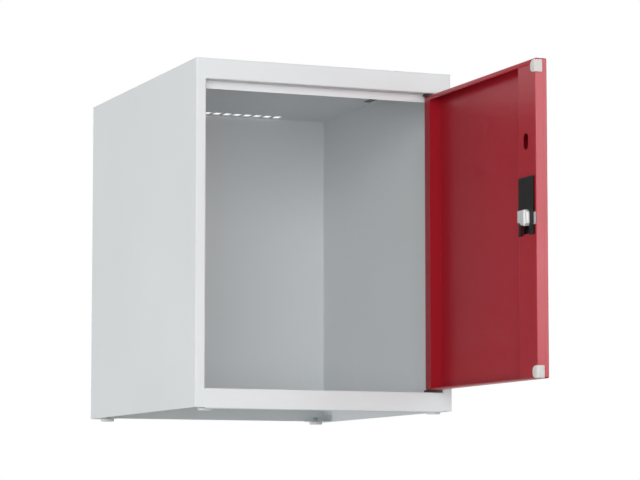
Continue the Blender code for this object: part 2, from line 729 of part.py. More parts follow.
def build_bolt(axis):
    """The zinc bolt: a grip block over the case, a neck, a guide plate inside the stile and the tongue."""
    half = BOLT_TONGUE_HEIGHT / 2
    left = LOCK_X - BOLT_BLOCK_WIDTH / 2
    right = LOCK_X + BOLT_BLOCK_WIDTH / 2
    block_low = LOCK_Z - BOLT_BLOCK_BELOW
    bolt = box(
        "latch_bolt", (left, BLOCK_BACK, block_low), (right, BLOCK_FACE, LOCK_Z + BOLT_BLOCK_ABOVE),
        axis, ZINC, rounding=BOLT_ROUNDING,
    )
    neck = box(
        "bolt_neck",
        (NECK_LOW, PLATE_TOP - SHEET, LOCK_Z - BOLT_NECK_HEIGHT / 2),
        (NECK_HIGH, BLOCK_BACK + SHEET, LOCK_Z + BOLT_NECK_HEIGHT / 2),
        axis,
    )
    tongue = box(
        "bolt_tongue",
        (EDGE_FREE + SEAM, CASE_BACK, LOCK_Z - half),
        ((NECK_LOW + NECK_HIGH) / 2, TONGUE_TOP, LOCK_Z + half),
        axis,
    )
    plate = box(
        "bolt_plate",
        (LOCK_X - BOLT_PLATE_WIDTH / 2, PLATE_UNDER, LOCK_Z - BOLT_PLATE_HEIGHT / 2),
        (LOCK_X + BOLT_PLATE_WIDTH / 2, PLATE_TOP, LOCK_Z + BOLT_PLATE_HEIGHT / 2),
        axis,
    )
    pin = rod(
        "bolt_guide_pin", (LOCK_X, (BLOCK_BACK + BLOCK_FACE) / 2), BOLT_PIN_DIAMETER / 2,
        block_low - BOLT_PIN_LENGTH, block_low + 2 * SHEET, "Z", axis, sides=16,
    )
    flutes = [
        rod(
            f"bolt_flute_{number}", (LOCK_X + step * 2 * BOLT_FLUTE_WIDTH, BLOCK_FACE), BOLT_FLUTE_WIDTH / 2,
            block_low + 3 * BOLT_FLUTE_DEPTH, LOCK_Z + BOLT_BLOCK_ABOVE - 3 * BOLT_FLUTE_DEPTH,
            "Z", axis, sides=12,
        )
        for number, step in enumerate((-1, 0), start=1)
    ]
    cut(bolt, *flutes)
    join(bolt, neck, tongue, plate, pin)
    # The crank's slot lies where the pin stands with the bolt drawn back.
    slot_x = LOCK_X + CRANK_RADIUS * math.sin(CRANK_START)
    slot_width = CRANK_PIN_DIAMETER + 2 * CRANK_PIN_CLEARANCE
    low = CRANK_RADIUS * math.cos(CRANK_START) - slot_width / 2
    high = CRANK_RADIUS + slot_width / 2
    slot = slot_shape(
        "crank_slot", (slot_x, LOCK_Z + (low + high) / 2), slot_width, high - low,
        PLATE_UNDER - SHEET, STILE_UNDER, axis,
    )
    return cut(bolt, *slot)


def build_lock_barrel(axis, turn):
    """The rosette with its barrel through the door's skin, and the nut that clamps it."""
    bore = SPINDLE_DIAMETER / 2 + PIN_CLEARANCE
    rim = ROSETTE_DIAMETER / 2
    barrel = BARREL_DIAMETER / 2
    seat = FLUSH_SEAM
    turned(
        "lock_rosette",
        [
            (bore, seat + ROSETTE_THICKNESS),
            (rim - ROSETTE_THICKNESS / 2, seat + ROSETTE_THICKNESS),
            (rim, seat + ROSETTE_THICKNESS / 2),
            (rim, seat),
            (barrel, seat),
            (barrel, -BARREL_LENGTH),
            (bore, -BARREL_LENGTH),
            (bore, seat + ROSETTE_THICKNESS),
        ],
        turn,
        BLACK_PLASTIC,
    )
    nut = rod(
        "lock_nut", (LOCK_X, LOCK_Z), NUT_ACROSS_FLATS / math.sqrt(3), SKIN_IN + SEAM,
        SKIN_IN + SEAM + NUT_THICKNESS, "Y", axis, ZINC, sides=6,
    )
    thread = rod(
        "nut_thread", (LOCK_X, LOCK_Z), barrel + SEAM,
        SKIN_IN - SHEET, SKIN_IN + NUT_THICKNESS + 2 * SHEET, "Y", axis,
    )
    return cut(nut, thread)


def build_knob(turn):
    """The twist knob outside and the spindle behind it, whose crank pin drives the bolt."""
    base = FLUSH_SEAM + ROSETTE_THICKNESS + SEAM
    top = base + KNOB_BASE
    rim = KNOB_DIAMETER / 2
    knob = turned(
        "lock_knob",
        [(0, top), (rim - KNOB_BASE / 3, top), (rim, top - KNOB_BASE / 3), (rim, base), (0, base)],
        turn,
        BLACK_PLASTIC,
    )
    grip = box(
        "knob_grip",
        (-KNOB_GRIP_WIDTH / 2, -rim + KNOB_BASE / 2, top - SHEET),
        (KNOB_GRIP_WIDTH / 2, rim - KNOB_BASE / 2, top + KNOB_GRIP_HEIGHT),
        turn,
        rounding=KNOB_BASE / 3,
    )
    join(knob, grip)
    radius = SPINDLE_DIAMETER / 2
    driver_top = -BARREL_LENGTH - SEAM
    socket_end = base + KNOB_BASE / 2
    socket = rod("knob_socket", (0, 0), radius + SEAM, base - SHEET, socket_end, "Z", turn, sides=24)
    cut(knob, socket)
    spindle = turned(
        "lock_spindle",
        [
            (0, base + KNOB_BASE / 2 - SEAM),
            (radius, base + KNOB_BASE / 2 - SEAM),
            (radius, driver_top),
            (DRIVER_RADIUS, driver_top),
            (DRIVER_RADIUS, driver_top - DRIVER_THICKNESS),
            (0, driver_top - DRIVER_THICKNESS),
        ],
        turn,
        ZINC,
        steps=24,
    )
    pin_end = SKIN_OUT - STILE_UNDER + SEAM
    pin_spot = (CRANK_RADIUS * math.sin(CRANK_START), CRANK_RADIUS * math.cos(CRANK_START))
    pin = rod(
        "crank_pin", pin_spot, CRANK_PIN_DIAMETER / 2, pin_end, driver_top - DRIVER_THICKNESS / 2, "Z", turn,
        sides=16,
    )
    join(spindle, pin)


def main():
    root = add_empty("cabinet_frame", None, (0, CABINET_SHIFT, 0))
    build_side_panels(root)
    build_back_panel(root)
    build_roof(root)
    top_rail = build_top_rail(root)
    bottom_rail = build_bottom_rail(root)
    build_floor(root)
    build_feet(root)
    build_hinge_bushes(root, top_rail, bottom_rail)
    axis = add_empty("door_axis", root, (HINGE_X, HINGE_Y, 0), (0, 0, DOOR_OPEN))
    build_door_skin(axis)
    stile = build_lock_stile(axis)
    build_door_caps(axis, stile)
    build_hinge_pins(axis)
    build_lock_case(axis, stile)
    build_bolt(axis)
    turn = add_empty("knob_axis", axis, (LOCK_X, SKIN_OUT, LOCK_Z), (math.pi / 2, 0, 0))
    build_lock_barrel(axis, turn)
    build_knob(turn)


clear_scene()
PARTS = new_collection("locker_top_cabinet")
CUTTERS = new_collection("cutters")
main()
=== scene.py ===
import bpy
import bmesh
import math
from mathutils import Matrix, Vector


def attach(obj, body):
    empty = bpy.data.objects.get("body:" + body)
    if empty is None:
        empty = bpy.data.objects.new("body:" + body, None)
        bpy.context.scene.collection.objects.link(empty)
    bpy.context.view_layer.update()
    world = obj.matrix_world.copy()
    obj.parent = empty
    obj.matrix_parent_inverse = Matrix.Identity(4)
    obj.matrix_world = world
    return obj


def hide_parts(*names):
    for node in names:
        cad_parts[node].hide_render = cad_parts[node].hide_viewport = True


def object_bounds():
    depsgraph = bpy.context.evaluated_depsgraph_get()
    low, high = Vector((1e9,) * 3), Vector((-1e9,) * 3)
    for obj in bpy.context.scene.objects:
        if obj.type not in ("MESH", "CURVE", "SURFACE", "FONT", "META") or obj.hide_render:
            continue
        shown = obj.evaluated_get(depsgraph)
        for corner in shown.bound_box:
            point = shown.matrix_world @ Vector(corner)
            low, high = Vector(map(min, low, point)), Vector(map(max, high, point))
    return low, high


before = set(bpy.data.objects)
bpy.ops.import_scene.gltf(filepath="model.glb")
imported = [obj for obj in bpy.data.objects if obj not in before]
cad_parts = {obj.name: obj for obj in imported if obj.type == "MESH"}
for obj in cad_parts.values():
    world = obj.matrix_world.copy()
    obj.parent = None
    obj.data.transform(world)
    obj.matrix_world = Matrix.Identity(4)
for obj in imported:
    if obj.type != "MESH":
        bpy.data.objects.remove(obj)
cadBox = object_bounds()
mm = 0.001


def linearColour(hexCode):
    channels = [int(hexCode[i:i + 2], 16) / 255 for i in (1, 3, 5)]
    return (*[c / 12.92 if c <= 0.04045 else ((c + 0.055) / 1.055) ** 2.4 for c in channels], 1)


def addNode(tree, kind, inputs=None, links=None, **settings):
    node = tree.nodes.new(kind)
    for key, value in settings.items():
        setattr(node, key, value)
    for socket, value in (inputs or {}).items():
        node.inputs[socket].default_value = value
    for socket, source in (links or {}).items():
        tree.links.new(source, node.inputs[socket])
    return node


def newMaterial(name):
    material = bpy.data.materials.new(name)
    material.use_nodes = True
    material.node_tree.nodes.clear()
    return material, material.node_tree


mixFirst, mixSecond, mixResult = 6, 7, 2  # the colour sockets of a Mix node
noiseLow, noiseHigh = 0.25, 0.75  # most values of a noise texture lie between these


# A texture's scale for a pattern of this size.
def perMetre(sizeMm):
    return 1000 / sizeMm


# Every finish starts from soft patches that drift between two tones.
def tonedMaterial(name, colour, otherColour, patchMm, detail):
    material, tree = newMaterial(name)
    place = addNode(tree, "ShaderNodeTexCoord").outputs["Object"]
    patches = addNode(tree, "ShaderNodeTexNoise", {"Scale": perMetre(patchMm), "Detail": detail},
                      {"Vector": place}).outputs["Fac"]
    tones = {mixFirst: linearColour(colour), mixSecond: linearColour(otherColour)}
    tone = addNode(tree, "ShaderNodeMix", tones, {0: patches}, data_type="RGBA").outputs[mixResult]
    return material, tree, place, tone, patches


# Polyester powder coat, sprayed on sheet steel and baked: satin, with a faint orange peel that breaks
# up reflections, and a slow drift in tone and gloss where the coat is thicker or thinner.
greyCoatLook = {
    "colour": "#e8eced", "thin": "#e3e7e9", "driftMm": 220, "roughness": (0.42, 0.52), "ior": 1.5,
    "peelMm": 3.5, "peelDepthMm": 0.012, "peelStrength": 0.6,
    "speckMm": 1.6, "speckDepthMm": 0.004, "speckStrength": 0.5,
}
redCoatLook = {
    **greyCoatLook, "colour": "#a71727", "thin": "#9d1423", "driftMm": 160,
    "roughness": (0.29, 0.35), "ior": 1.45,
}
# The door's free edge gets a lighter, fuller red than the rest of the door: a painted highlight for the
# light the free edge catches from the front.
redEdgeHighlightLook = {
    **redCoatLook, "colour": "#bd1f35", "thin": "#b51c30", "roughness": (0.19, 0.25), "ior": 1.5,
}


def powderCoat(name, look):
    material, tree, place, tone, drift = tonedMaterial(
        name, look["colour"], look["thin"], look["driftMm"], detail=3.0)
    # Real peel is about 1 mm across, and its specks half of that: too fine for the render, so both are
    # drawn about three times as coarse.
    peel = addNode(tree, "ShaderNodeTexNoise", {"Scale": perMetre(look["peelMm"]), "Detail": 1.0},
                   {"Vector": place})
    speck = addNode(tree, "ShaderNodeTexNoise", {"Scale": perMetre(look["speckMm"]), "Detail": 0.0},
                    {"Vector": place})
    wave = addNode(tree, "ShaderNodeBump",
                   {"Strength": look["peelStrength"], "Distance": look["peelDepthMm"] * mm},
                   {"Height": peel.outputs["Fac"]})
    grit = addNode(tree, "ShaderNodeBump",
                   {"Strength": look["speckStrength"], "Distance": look["speckDepthMm"] * mm},
                   {"Height": speck.outputs["Fac"], "Normal": wave.outputs["Normal"]})
    smoothest, roughest = look["roughness"]
    sheen = addNode(tree, "ShaderNodeMapRange",
                    {"From Min": noiseLow, "From Max": noiseHigh,
                     "To Min": smoothest, "To Max": roughest},
                    {"Value": drift}, clamp=False)
    paint = addNode(tree, "ShaderNodeBsdfPrincipled", {"IOR": look["ior"]},
                    {"Base Color": tone, "Roughness": sheen.outputs["Result"],
                     "Normal": grit.outputs["Normal"]})
    addNode(tree, "ShaderNodeOutputMaterial", links={"Surface": paint.outputs["BSDF"]})
    return material


# Injection-moulded nylon, ABS and polyethylene: an eroded tool leaves an even fine grain, and flow
# gives slight mottling.
mouldedLook = {
    "mottleMm": 9, "grainMm": 0.9, "grainDepthMm": 0.015, "grainStrength": 0.5,
    "roughness": 0.5, "ior": 1.51, "specular": 0.5,
}
blackNylonLook = {
    **mouldedLook, "colour": "#1d1d1f", "mottle": "#242427", "mottleMm": 14, "grainDepthMm": 0.02,
    "roughness": 0.46, "ior": 1.53,
}
blackCaseLook = {
    **mouldedLook, "colour": "#0f0f0e", "mottle": "#131312", "mottleMm": 18,
    "ior": 1.52, "specular": 0.28,
}
paleCapLook = {
    **mouldedLook, "colour": "#dad9d6", "mottle": "#d4d2cf", "grainMm": 1.1, "grainDepthMm": 0.012,
    "roughness": 0.42, "ior": 1.5,
}
greyPlugLook = {**mouldedLook, "colour": "#6f7173", "mottle": "#66686a", "specular": 0.4}
glideLook = {**mouldedLook, "colour": "#f6f6f4", "mottle": "#efefec", "grainMm": 1.1}


def mouldedPlastic(name, look):
    material, tree, place, tone, _ = tonedMaterial(
        name, look["colour"], look["mottle"], look["mottleMm"], detail=2.0)
    # Tool grain is about 0.3 mm; three times as coarse here so that it shows.
    grain = addNode(tree, "ShaderNodeTexVoronoi", {"Scale": perMetre(look["grainMm"])},
                    {"Vector": place})
    bump = addNode(tree, "ShaderNodeBump",
                   {"Strength": look["grainStrength"], "Distance": look["grainDepthMm"] * mm},
                   {"Height": grain.outputs["Distance"]})
    plastic = addNode(tree, "ShaderNodeBsdfPrincipled",
                      {"Roughness": look["roughness"], "IOR": look["ior"],
                       "Specular IOR Level": look["specular"]},
                      {"Base Color": tone, "Normal": bump.outputs["Normal"]})
    addNode(tree, "ShaderNodeOutputMaterial", links={"Surface": plastic.outputs["BSDF"]})
    return material


# Zinc die casting, tumbled, bright plated and lacquered: pale grey with fine drawn marks along the
# slide and soft clouds. The milky lacquer scatters light, so it is less of a mirror than bare metal
# and its metallic value is lower.
zincLook = {
    "colour": "#f8f8f8", "cloud": "#ecedee", "cloudMm": 7, "roughness": (0.29, 0.40), "metallic": 0.6,
    "markMm": 0.8, "markLength": 14, "markDepthMm": 0.006, "markStrength": 0.5,
}
# Cold-drawn steel, zinc plated, for the pins, the stems and the tongue: duller and bluer than the
# casting.
pinSteelLook = {
    "colour": "#b9bdc2", "cloud": "#a7abb1", "cloudMm": 5, "roughness": (0.29, 0.42), "metallic": 1.0,
    "markMm": 0.6, "markLength": 10, "markDepthMm": 0.005, "markStrength": 0.5,
}


def platedMetal(name, look):
    material, tree, place, tone, _ = tonedMaterial(
        name, look["colour"], look["cloud"], look["cloudMm"], detail=3.0)
    # Real marks are about 0.1 mm wide and would not show, so they are drawn several times as coarse.
    drawn = addNode(tree, "ShaderNodeMapping", {"Scale": (1, 1 / look["markLength"], 1)},
                    {"Vector": place})
    marks = addNode(tree, "ShaderNodeTexNoise", {"Scale": perMetre(look["markMm"]), "Detail": 2.0},
                    {"Vector": drawn.outputs["Vector"]})
    bump = addNode(tree, "ShaderNodeBump",
                   {"Strength": look["markStrength"], "Distance": look["markDepthMm"] * mm},
                   {"Height": marks.outputs["Fac"]})
    smoothest, roughest = look["roughness"]
    sheen = addNode(tree, "ShaderNodeMapRange",
                    {"From Min": noiseLow, "From Max": noiseHigh,
                     "To Min": smoothest, "To Max": roughest},
                    {"Value": marks.outputs["Fac"]}, clamp=False)
    metal = addNode(tree, "ShaderNodeBsdfPrincipled", {"Metallic": look["metallic"]},
                    {"Base Color": tone, "Roughness": sheen.outputs["Result"],
                     "Normal": bump.outputs["Normal"]})
    addNode(tree, "ShaderNodeOutputMaterial", links={"Surface": metal.outputs["BSDF"]})
    return material


greyCoat = powderCoat("greyPowderCoat", greyCoatLook)
redCoat = powderCoat("redPowderCoat", redCoatLook)
# The free edge's lighter red is a painted highlight.
redEdgeHighlightCoat = powderCoat("redPowderCoatEdgeHighlight", redEdgeHighlightLook)
blackNylon = mouldedPlastic("blackMouldedNylon", blackNylonLook)
greyPlug = mouldedPlastic("greyPlugPolyethylene", greyPlugLook)
blackCase = mouldedPlastic("blackLockCaseAbs", blackCaseLook)
paleCap = mouldedPlastic("paleCapPolyamide", paleCapLook)
glidePlastic = mouldedPlastic("glidePolyethylene", glideLook)
brightZinc = platedMetal("brightZincCasting", zincLook)
pinSteel = platedMetal("platedPinSteel", pinSteelLook)

nodeFinish = {
    greyCoat: ["left_side_panel", "right_side_panel", "back_panel", "roof_panel", "top_front_rail",
               "door_stop_rail", "bottom_front_rail", "floor_panel", "foot_bracket_front_left",
               "foot_bracket_front_right", "foot_bracket_rear_left", "foot_bracket_rear_right"],
    redCoat: ["door_skin", "lock_stile"],
    blackNylon: ["upper_hinge_bush", "lower_hinge_bush", "upper_pin_block", "lower_pin_block",
                 "lock_rosette", "lock_knob"],
    greyPlug: ["roof_plug_left", "roof_plug_right"],
    blackCase: ["lock_case"],
    paleCap: ["door_cap_upper", "door_cap_lower"],
    glidePlastic: ["foot_front_left", "foot_front_right", "foot_rear_left", "foot_rear_right"],
    brightZinc: ["latch_bolt", "lock_nut", "lock_spindle"],
    pinSteel: ["upper_hinge_pin", "lower_hinge_pin"],
}
for finish, nodeNames in nodeFinish.items():
    for nodeName in nodeNames:
        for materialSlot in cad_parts[nodeName].material_slots:
            materialSlot.material = finish
print("finishes on", sum(len(names) for names in nodeFinish.values()), "CAD nodes")


# Mesh making: points nearer than mergeMm are one, and faces within flatDeg of each other are flat.
meshSet = {"mergeMm": 0.01, "flatDeg": 0.5, "turnSteps": 64, "softSteps": 2, "sharpDeg": 35}


def newPiece(name, shape):
    mesh = bpy.data.meshes.new(name)
    bmesh.ops.recalc_face_normals(shape, faces=shape.faces)
    shape.to_mesh(mesh)
    shape.free()
    piece = bpy.data.objects.new(name, mesh)
    bpy.context.scene.collection.objects.link(piece)
    return piece


# A box between the low and high values on each axis.
def solidBox(x, y, z):
    low, high = [Vector(corner) for corner in zip(x, y, z)]
    shape = bmesh.new()
    bmesh.ops.create_cube(shape, size=1)
    stretch = Matrix.Translation((low + high) / 2) @ Matrix.Diagonal((*(high - low), 1))
    bmesh.ops.transform(shape, matrix=stretch, verts=shape.verts)
    return newPiece("solid", shape)


def solidPrism(outline, lift):
    shape = bmesh.new()
    face = shape.faces.new([shape.verts.new(point) for point in outline])
    drawn = bmesh.ops.extrude_face_region(shape, geom=[face])["geom"]
    bmesh.ops.translate(shape, verts=[g for g in drawn if isinstance(g, bmesh.types.BMVert)], vec=lift)
    return newPiece("solid", shape)


# A body turned about an axis that starts at base; the profile gives radius and height.
def solidTurned(profile, base, axis, steps=meshSet["turnSteps"]):
    shape = bmesh.new()
    verts = [shape.verts.new((radius, 0, height)) for radius, height in profile]
    edges = [shape.edges.new(pair) for pair in zip(verts, verts[1:])]
    bmesh.ops.spin(shape, geom=verts + edges, cent=(0, 0, 0), axis=(0, 0, 1),
                   angle=2 * math.pi, steps=steps)
    bmesh.ops.remove_doubles(shape, verts=shape.verts, dist=meshSet["mergeMm"] * mm)
    flat = math.radians(meshSet["flatDeg"])  # leaves one face on a flat end
    bmesh.ops.dissolve_limit(shape, angle_limit=flat, verts=shape.verts, edges=shape.edges)
    turn = Vector(axis).to_track_quat("Z", "Y").to_matrix().to_4x4()
    bmesh.ops.transform(shape, matrix=Matrix.Translation(base) @ turn, verts=shape.verts)
    return newPiece("solid", shape)


# Angles in radians from 0 to a right angle; the last step takes up what is left.
def quarterTurn(step):
    right = math.pi / 2
    return [i * step for i in range(math.ceil(right / step - 0.5))] + [right]


def bakeModifiers(piece):
    shown = piece.evaluated_get(bpy.context.evaluated_depsgraph_get())
    mesh = bpy.data.meshes.new_from_object(shown)
    piece.modifiers.clear()
    piece.data = mesh


def softened(piece, widthMm, steps=meshSet["softSteps"]):
    soft = piece.modifiers.new("softEdges", "BEVEL")
    soft.width, soft.segments, soft.limit_method = widthMm * mm, steps, "ANGLE"
    bakeModifiers(piece)
    return piece


def shaped(piece, adds=(), cuts=()):
    tools = [(tool, "UNION") for tool in adds] + [(tool, "DIFFERENCE") for tool in cuts]
    for tool, deed in tools:
        step = piece.modifiers.new("step", "BOOLEAN")
        step.operation, step.solver, step.object = deed, "EXACT", tool
    bakeModifiers(piece)
    for tool in (*adds, *cuts):
        bpy.data.objects.remove(tool)
    return piece


# Joins the points that a cut or bevel leaves almost on each other, and turns every face outwards.
def cleaned(piece):
    shape = bmesh.new()
    shape.from_mesh(piece.data)
    reach = meshSet["mergeMm"] * mm
    bmesh.ops.remove_doubles(shape, verts=shape.verts, dist=reach)
    bmesh.ops.dissolve_degenerate(shape, edges=shape.edges, dist=reach)
    shape.normal_update()
    bmesh.ops.recalc_face_normals(shape, faces=shape.faces)
    shape.to_mesh(piece.data)
    shape.free()


def finished(piece, name, material, body, softMm=0, sharpDeg=meshSet["sharpDeg"]):
    if softMm:
        softened(piece, softMm)
    cleaned(piece)
    piece.name = piece.data.name = name
    piece.data.materials.clear()
    piece.data.materials.append(material)
    piece.data.shade_smooth()
    piece.data.set_sharp_from_angle(angle=math.radians(sharpDeg))
    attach(piece, body)
    return piece


# Gives the picked faces of a finished piece another material.
def secondFinish(piece, material, picked):
    piece.data.materials.append(material)
    for face in piece.data.polygons:
        if picked(face):
            face.material_index = 1


def newTree(name, inputs, output):
    tree = bpy.data.node_groups.new(name, "GeometryNodeTree")
    for label, kind in inputs.items():
        tree.interface.new_socket(label, in_out="INPUT", socket_type="NodeSocket" + kind)
    tree.interface.new_socket(output, in_out="OUTPUT", socket_type="NodeSocketGeometry")
    return tree, addNode(tree, "NodeGroupInput").outputs


def giveTree(piece, tree, values):
    layout = piece.modifiers.new("layout", "NODES")
    layout.node_group = tree
    for item in tree.interface.items_tree:
        if item.in_out == "INPUT" and item.name in values:
            layout[item.identifier] = values[item.name]
    bakeModifiers(piece)


# Glides: plastic pads on steel stems that stand in the brackets. One of each is made, and Geometry
# Nodes repeat it at the four corners.
glideSet = {
    "radiusMm": 10.5, "heightMm": 3.7, "edgeMm": 0.8, "edgeStep": 0.5, "rimMm": 0.4, "padSteps": 48,
    "dishShare": 0.55, "soleShare": 0.62,  # of the radius
    "dishMm": 0.5,
    "stemMm": 3.0, "stemTopMm": 11.7, "stemTipMm": 0.5, "stemRootMm": 0.5, "stemSteps": 32,
    "acrossMm": 356, "alongMm": 461, "middle": (0, 0.1752, 0),
}


def glideProfile():
    radius, edge, top = glideSet["radiusMm"], glideSet["edgeMm"], glideSet["heightMm"]
    dish, rim = glideSet["dishMm"], glideSet["rimMm"]
    lowEdge = [(radius - edge * (1 - math.sin(a)), edge * (1 - math.cos(a)))
               for a in quarterTurn(glideSet["edgeStep"])]
    points = [(0, dish), (radius * glideSet["dishShare"], dish), (radius * glideSet["soleShare"], 0),
              *lowEdge, (radius, top - rim), (radius - rim, top), (0, top)]
    return [(r * mm, h * mm) for r, h in points]


def stemProfile():
    radius, top, tip = glideSet["stemMm"], glideSet["stemTopMm"], glideSet["stemTipMm"]
    root = glideSet["heightMm"] - glideSet["stemRootMm"]
    points = [(0, root), (radius, root), (radius, top - tip), (radius - tip, top), (0, top)]
    return [(r * mm, h * mm) for r, h in points]


def cornerTree():
    tree, given = newTree("cornerGlides", {"Pad": "Geometry", "Across": "Float", "Along": "Float",
                                           "Middle": "Vector", "Finish": "Material"}, "Glides")
    grid = addNode(tree, "GeometryNodeMeshGrid", {"Vertices X": 2, "Vertices Y": 2},
                   {"Size X": given["Across"], "Size Y": given["Along"]})
    corners = addNode(tree, "GeometryNodeTransform",
                      links={"Geometry": grid.outputs["Mesh"], "Translation": given["Middle"]})
    pads = addNode(tree, "GeometryNodeInstanceOnPoints",
                   links={"Points": corners.outputs[0], "Instance": given["Pad"]})
    real = addNode(tree, "GeometryNodeRealizeInstances", links={"Geometry": pads.outputs[0]})
    dressed = addNode(tree, "GeometryNodeSetMaterial",
                      links={"Geometry": real.outputs[0], "Material": given["Finish"]})
    addNode(tree, "NodeGroupOutput", links={0: dressed.outputs[0]})
    return tree


cornerLayout = cornerTree()
cornerPlaces = {"Across": glideSet["acrossMm"] * mm, "Along": glideSet["alongMm"] * mm,
                "Middle": glideSet["middle"]}
cornerGlides = solidTurned(glideProfile(), (0, 0, 0), (0, 0, 1), steps=glideSet["padSteps"])
giveTree(cornerGlides, cornerLayout, {**cornerPlaces, "Finish": glidePlastic})
finished(cornerGlides, "cornerGlides", glidePlastic, "carcass")
glideStems = solidTurned(stemProfile(), (0, 0, 0), (0, 0, 1), steps=glideSet["stemSteps"])
giveTree(glideStems, cornerLayout, {**cornerPlaces, "Finish": pinSteel})
finished(glideStems, "glideStems", pinSteel, "carcass")
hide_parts("foot_front_left", "foot_front_right", "foot_rear_left", "foot_rear_right")
print("glides set")


# Corner joints of the front frame: the rails are welded to the stiles, filled and ground flush before
# painting. Each joint runs from its outer end to the end where the rail bends back.
jointSet = {
    "inner": 0.1847, "outer": 0.1872, "front": -0.0748, "proudMm": 0.02, "depthMm": 1.6, "bendMm": 2.0,
    "bendStep": 0.4, "upper": (0.5029, 0.474), "lower": (0.004, 0.031),
}


def frameJoints():
    front = jointSet["front"] - jointSet["proudMm"] * mm
    back = jointSet["front"] + jointSet["depthMm"] * mm
    bend = jointSet["bendMm"] * mm
    arc = [(front + bend * (1 - math.cos(a)), bend * (1 - math.sin(a)))
           for a in quarterTurn(jointSet["bendStep"])]
    parts = []
    for side in (-1, 1):
        x = sorted((side * jointSet["inner"], side * jointSet["outer"]))
        for outerZ, bentZ in (jointSet["upper"], jointSet["lower"]):
            outwards = 1 if outerZ > bentZ else -1
            rounded = [(y, bentZ + outwards * rise) for y, rise in arc if y < back]
            outline = [(front, outerZ), *rounded, (back, bentZ), (back, outerZ)]
            parts.append(solidPrism([(x[0], y, z) for y, z in outline], (x[1] - x[0], 0, 0)))
    return shaped(parts[0], adds=parts[1:])


finished(frameJoints(), "frontFrameJoints", greyCoat, "carcass")
print("front frame joints filled")


# Inner seams: the panels' joints in the compartment, run with sealant before painting, so no gap shows
# as a dark line.
seamSet = {
    "halfX": 0.199, "roofZ": 0.503, "floorZ": 0.0297, "backY": 0.4229, "roofFrontY": -0.0550,
    "floorFrontY": -0.0460, "legMm": 1.4,
}


def innerSeams():
    leg, halfX, backY = seamSet["legMm"] * mm, seamSet["halfX"], seamSet["backY"]
    roofZ, floorZ = seamSet["roofZ"], seamSet["floorZ"]
    walls = ((-halfX, leg), (halfX, -leg))
    parts = []
    levels = ((roofZ, -leg, seamSet["roofFrontY"]), (floorZ, leg, seamSet["floorFrontY"]))
    for z, rise, frontY in levels:
        across = [(-halfX, backY, z), (-halfX, backY - leg, z), (-halfX, backY, z + rise)]
        parts.append(solidPrism(across, (2 * halfX, 0, 0)))
        for x, inwards in walls:
            along = [(x, frontY, z), (x + inwards, frontY, z), (x, frontY, z + rise)]
            parts.append(solidPrism(along, (0, backY - frontY, 0)))
    for x, inwards in walls:
        upright = [(x, backY, floorZ), (x + inwards, backY, floorZ), (x, backY - leg, floorZ)]
        parts.append(solidPrism(upright, (0, 0, roofZ - floorZ)))
    return shaped(parts[0], adds=parts[1:])


finished(innerSeams(), "innerSeams", greyCoat, "carcass")
print("inner seams run")


# Latch bolt: a zinc finger block with a scooped face and a chamfered end, on a neck, a guide plate and
# the tongue.
boltSet = {
    "lockZ": 0.2513,
    "blockX": (0.1555, 0.1606), "blockY": (-0.4106, -0.3814), "blockZ": (0.2448, 0.2642),
    "riseY": -0.3945, "dropMm": 0.9, "ridgeY": -0.4026, "scoopFootMm": 2.6, "scoopTopMm": 1.1,
    "scoopLean": 0.15, "scoopEnd": 0.55,  # of the scoop's depth
    "endSlantMm": 1.7, "chamferMm": 4.0, "softMm": 0.4, "heelY": -0.3890, "heelMm": 3.0, "cutOverMm": 3,
    "pinX": 0.1580, "pinY": -0.3995, "pinMm": 1.9, "pinDropMm": 2.2, "pinRootMm": 4, "pinSteps": 24,
    "pinTip": 0.6, "pinTaper": 0.7,  # of the pin's radius and of its drop
    "neckY": (-0.3977, -0.3852), "neckMm": 14, "neckRootMm": 0.5,
    "tongueX": (0.1620, 0.1632), "tongueY": (-0.4245, -0.3914), "tongueMm": 16.5, "tipMm": 1.4,
    "slackMm": 0.1,
    "plateX": (0.1648, 0.1670), "plateY": (-0.4084, -0.3844), "plateZ": (0.2450, 0.2638),
}


# The face rises to a ridge; past it a scoop runs out at the slanted end, and it deepens downwards.
def fingerBlock():
    (faceX, backX), (endY, heelEndY) = boltSet["blockX"], boltSet["blockY"]
    footZ, topZ = boltSet["blockZ"]
    lowX, slant = faceX + boltSet["dropMm"] * mm, boltSet["endSlantMm"] * mm
    shape = bmesh.new()
    rings = []
    for z, deepMm in ((footZ, boltSet["scoopFootMm"]), (topZ, boltSet["scoopTopMm"])):
        deep = deepMm * mm
        wallY, endDeep = boltSet["ridgeY"] - boltSet["scoopLean"] * deep, boltSet["scoopEnd"] * deep
        outline = [(backX, heelEndY), (lowX, heelEndY), (lowX, boltSet["riseY"]),
                   (faceX, boltSet["ridgeY"]), (faceX + deep, wallY),
                   (faceX + endDeep, endY + slant * (1 - endDeep / (backX - faceX))), (backX, endY)]
        rings.append([shape.verts.new((x, y, z)) for x, y in outline])
    foot, top = rings
    shape.faces.new(foot[::-1])
    shape.faces.new(top)
    scoopFloor = 5  # the side that ends at this point of the outline is twisted, so it is two triangles
    for i in range(len(foot)):
        quad = (foot[i - 1], foot[i], top[i], top[i - 1])
        if i == scoopFloor:
            shape.faces.new((quad[0], quad[1], quad[3]))
            shape.faces.new((quad[1], quad[2], quad[3]))
        else:
            shape.faces.new(quad)
    block = newPiece("solid", shape)
    chamfer, heel, over = [boltSet[size] * mm for size in ("chamferMm", "heelMm", "cutOverMm")]
    cornerCut = solidPrism([(faceX - over, endY - over, topZ + over),
                            (faceX - over, endY + chamfer + over, topZ + over),
                            (faceX - over, endY - over, topZ - chamfer - over)],
                           (backX - faceX + 2 * over, 0, 0))
    heelCut = solidBox((faceX - over, backX + over), (boltSet["heelY"], heelEndY + over),
                       (footZ - over, footZ + heel))
    return softened(shaped(block, cuts=[cornerCut, heelCut]), boltSet["softMm"])


